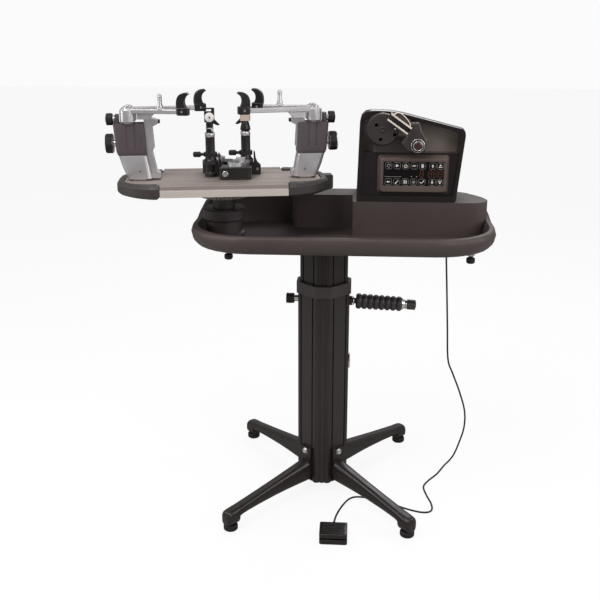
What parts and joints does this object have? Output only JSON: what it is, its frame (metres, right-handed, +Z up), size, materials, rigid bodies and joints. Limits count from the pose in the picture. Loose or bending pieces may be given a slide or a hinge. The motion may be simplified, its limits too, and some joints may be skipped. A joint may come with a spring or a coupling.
{
  "type": "racket stringing machine",
  "caption": "Electric racket stringing machine on a height-adjustable column stand, with a turntable, frame towers, string clamps, a tension head and a foot pedal.",
  "frame": {"origin": "On the floor, under the middle of the bounding box of everything but the pedal's lead.", "axes": "+Z is up, +X is to the operator's right and the operator stands at -Y."},
  "size_m": [0.9928, 0.6046, 1.1083],
  "materials": {
    "black_aluminium": "satin black anodised extrusion",
    "black_casting": "satin black powder coat on cast aluminium",
    "black_plastic": "fine-grained black plastic",
    "gloss_black": "gloss black moulding",
    "tray_plastic": "warm dark grey textured moulding",
    "grey_plastic": "dark grey fine-grained moulding",
    "silver": "satin silver",
    "deck_aluminium": "brushed warm grey anodised extrusion",
    "rubber": "soft black rubber"
  },
  "bodies": {
    "stand": {"outer_column": "black_aluminium", "column_collar": "black_plastic", "leg_front_left": "black_casting", "leg_front_right": "black_casting", "leg_back_right": "black_casting", "leg_back_left": "black_casting", "foot_front_left": "rubber", "foot_front_right": "rubber", "foot_back_right": "rubber", "foot_back_left": "rubber", "pedal_base": "black_plastic", "pedal_cord": "rubber"},
    "lift": {"inner_column": "black_aluminium", "tray": "tray_plastic", "tray_foot_front_left": "rubber", "tray_foot_front_right": "rubber", "tray_foot_back_right": "rubber", "tray_foot_back_left": "rubber", "turntable_pedestal": "black_plastic", "console_shell": "gloss_black", "console_bezel": "grey_plastic", "control_panel": "gloss_black"},
    "lock_handle": {"lock_handle": "rubber"},
    "lock_plunger": {"lock_plunger": "black_plastic"},
    "pedal_tread": {"pedal_tread": "rubber"},
    "puller": {"tension_carriage": "black_plastic", "gripper_jaws": "silver"},
    "drum": {"gripper_drum": "grey_plastic"},
    "turntable": {"brake_ring": "black_plastic", "turntable_deck": "deck_aluminium", "end_cap_left": "grey_plastic", "end_cap_right": "grey_plastic"},
    "tower_left": {"tower_base_left": "silver", "tower_housing_left": "grey_plastic"},
    "support_left": {"frame_support_left": "silver"},
    "support_knob_left": {"support_knob_left": "rubber"},
    "arm_knob_left": {"arm_knob_left": "rubber"},
    "long_arm_left": {"long_arm_left": "silver", "long_hook_left": "black_plastic"},
    "short_arm_left": {"short_arm_left": "silver", "short_hook_left": "black_plastic"},
    "tower_right": {"tower_base_right": "silver", "tower_housing_right": "grey_plastic"},
    "support_right": {"frame_support_right": "silver"},
    "support_knob_right": {"support_knob_right": "rubber"},
    "arm_knob_right": {"arm_knob_right": "rubber"},
    "long_arm_right": {"long_arm_right": "silver", "long_hook_right": "black_plastic"},
    "short_arm_right": {"short_arm_right": "silver", "short_hook_right": "black_plastic"},
    "clamp_base_left": {"clamp_base_left": "black_plastic"},
    "clamp_arm_left": {"clamp_link_left": "silver", "clamp_post_left": "black_plastic"},
    "clamp_rod_left": {"clamp_rod_left": "black_plastic"},
    "clamp_head_left": {"clamp_head_left": "black_plastic"},
    "clamp_base_right": {"clamp_base_right": "black_plastic"},
    "clamp_arm_right": {"clamp_link_right": "silver", "clamp_post_right": "black_plastic"},
    "clamp_rod_right": {"clamp_rod_right": "black_plastic"},
    "clamp_head_right": {"clamp_head_right": "black_plastic"}
  },
  "joints": [
    {"name": "column_lift", "type": "slide", "parent": "stand", "child": "lift", "axis": [0, 0, 1], "range_m": [-0.1, 0.15], "deforming": ["pedal_cord"]},
    {"name": "lock_handle_turn", "type": "hinge", "parent": "stand", "child": "lock_handle", "pos_m": [0.12632, 0.01668, 0.55439], "axis": [0.9986, 0, -0.0523], "range_deg": [-180, 180]},
    {"name": "lock_pin_pull", "type": "slide", "parent": "stand", "child": "lock_plunger", "axis": [-1, 0, 0], "range_m": [0, 0.01], "stiffness_N_per_m": 600},
    {"name": "pedal_press", "type": "hinge", "parent": "stand", "child": "pedal_tread", "pos_m": [0.09742, -0.25432, 0.0173], "axis": [1, 0, 0], "range_deg": [0, 4], "stiffness_Nm_per_rad": 4, "springref_deg": -2.86},
    {"name": "tension_pull", "type": "slide", "parent": "lift", "child": "puller", "axis": [1, 0, 0], "range_m": [0, 0.08]},
    {"name": "drum_turn", "type": "hinge", "parent": "puller", "child": "drum", "pos_m": [0.20142, 0.00468, 1.0143], "axis": [0, 1, 0], "continuous": true},
    {"name": "turntable_spin", "type": "hinge", "parent": "lift", "child": "turntable", "pos_m": [-0.20458, -0.00532, 0.85], "axis": [0, 0, 1], "continuous": true},
    {"name": "tower_slide_left", "type": "slide", "parent": "turntable", "child": "tower_left", "axis": [-0.9857, -0.1685, 0], "range_m": [-0.006, 0.02]},
    {"name": "support_push_left", "type": "slide", "parent": "tower_left", "child": "support_left", "axis": [0.9857, 0.1685, 0], "range_m": [0, 0.006]},
    {"name": "support_knob_turn_left", "type": "hinge", "parent": "tower_left", "child": "support_knob_left", "pos_m": [-0.48748, -0.05367, 0.98], "axis": [0.9857, 0.1685, 0], "range_deg": [0, 1080]},
    {"name": "long_arm_swing_left", "type": "hinge", "parent": "tower_left", "child": "long_arm_left", "pos_m": [-0.43771, -0.02437, 1.044], "axis": [0, 0, 1], "range_deg": [-2, 8]},
    {"name": "short_arm_swing_left", "type": "hinge", "parent": "tower_left", "child": "short_arm_left", "pos_m": [-0.4308, -0.06478, 1.044], "axis": [0, 0, 1], "range_deg": [-8, 2]},
    {"name": "arm_knob_turn_left", "type": "hinge", "parent": "tower_left", "child": "arm_knob_left", "pos_m": [-0.48255, -0.05283, 1.04], "axis": [0.9857, 0.1685, 0], "range_deg": [-60, 240]},
    {"name": "tower_slide_right", "type": "slide", "parent": "turntable", "child": "tower_right", "axis": [0.9857, 0.1685, 0], "range_m": [-0.006, 0.02]},
    {"name": "support_push_right", "type": "slide", "parent": "tower_right", "child": "support_right", "axis": [-0.9857, -0.1685, 0], "range_m": [0, 0.006]},
    {"name": "support_knob_turn_right", "type": "hinge", "parent": "tower_right", "child": "support_knob_right", "pos_m": [0.07831, 0.04304, 0.98], "axis": [-0.9857, -0.1685, 0], "range_deg": [0, 1080]},
    {"name": "long_arm_swing_right", "type": "hinge", "parent": "tower_right", "child": "long_arm_right", "pos_m": [0.02854, 0.01373, 1.044], "axis": [0, 0, 1], "range_deg": [-2, 8]},
    {"name": "short_arm_swing_right", "type": "hinge", "parent": "tower_right", "child": "short_arm_right", "pos_m": [0.02163, 0.05415, 1.044], "axis": [0, 0, 1], "range_deg": [-8, 2]},
    {"name": "arm_knob_turn_right", "type": "hinge", "parent": "tower_right", "child": "arm_knob_right", "pos_m": [0.07338, 0.0422, 1.04], "axis": [-0.9857, -0.1685, 0], "range_deg": [-60, 240]},
    {"name": "clamp_glide_left", "type": "slide", "parent": "turntable", "child": "clamp_base_left", "axis": [0.9857, 0.1685, 0], "range_m": [-0.04, 0]},
    {"name": "clamp_swing_left", "type": "hinge", "parent": "clamp_base_left", "child": "clamp_arm_left", "pos_m": [-0.2272, 0.05575, 0.924], "axis": [0, 0, 1], "range_deg": [-8, 8]},
    {"name": "clamp_lock_left", "type": "hinge", "parent": "clamp_arm_left", "child": "clamp_rod_left", "pos_m": [-0.23558, -0.00972, 0.949], "axis": [0, 0, 1], "range_deg": [-30, 5]},
    {"name": "clamp_head_turn_left", "type": "hinge", "parent": "clamp_arm_left", "child": "clamp_head_left", "pos_m": [-0.23558, -0.00972, 0.992], "axis": [0, 0, 1], "continuous": true},
    {"name": "clamp_glide_right", "type": "slide", "parent": "turntable", "child": "clamp_base_right", "axis": [0.9857, 0.1685, 0], "range_m": [0, 0.006]},
    {"name": "clamp_swing_right", "type": "hinge", "parent": "clamp_base_right", "child": "clamp_arm_right", "pos_m": [-0.16895, -0.03575, 0.924], "axis": [0, 0, 1], "range_deg": [-8, 8]},
    {"name": "clamp_lock_right", "type": "hinge", "parent": "clamp_arm_right", "child": "clamp_rod_right", "pos_m": [-0.14932, 0.02727, 0.949], "axis": [0, 0, 1], "range_deg": [-30, 5]},
    {"name": "clamp_head_turn_right", "type": "hinge", "parent": "clamp_arm_right", "child": "clamp_head_right", "pos_m": [-0.14932, 0.02727, 0.992], "axis": [0, 0, 1], "continuous": true}
  ],
  "couplings": [
    {"joint": "support_knob_turn_left", "follows": "support_push_left", "rad_per_m": 3141.5},
    {"joint": "short_arm_swing_left", "follows": "long_arm_swing_left", "ratio": -1},
    {"joint": "arm_knob_turn_left", "follows": "long_arm_swing_left", "ratio": 30},
    {"joint": "support_knob_turn_right", "follows": "support_push_right", "rad_per_m": 3141.5},
    {"joint": "short_arm_swing_right", "follows": "long_arm_swing_right", "ratio": -1},
    {"joint": "arm_knob_turn_right", "follows": "long_arm_swing_right", "ratio": 30},
    {"joint": "tower_slide_right", "follows": "tower_slide_left", "ratio": 1}
  ]
}
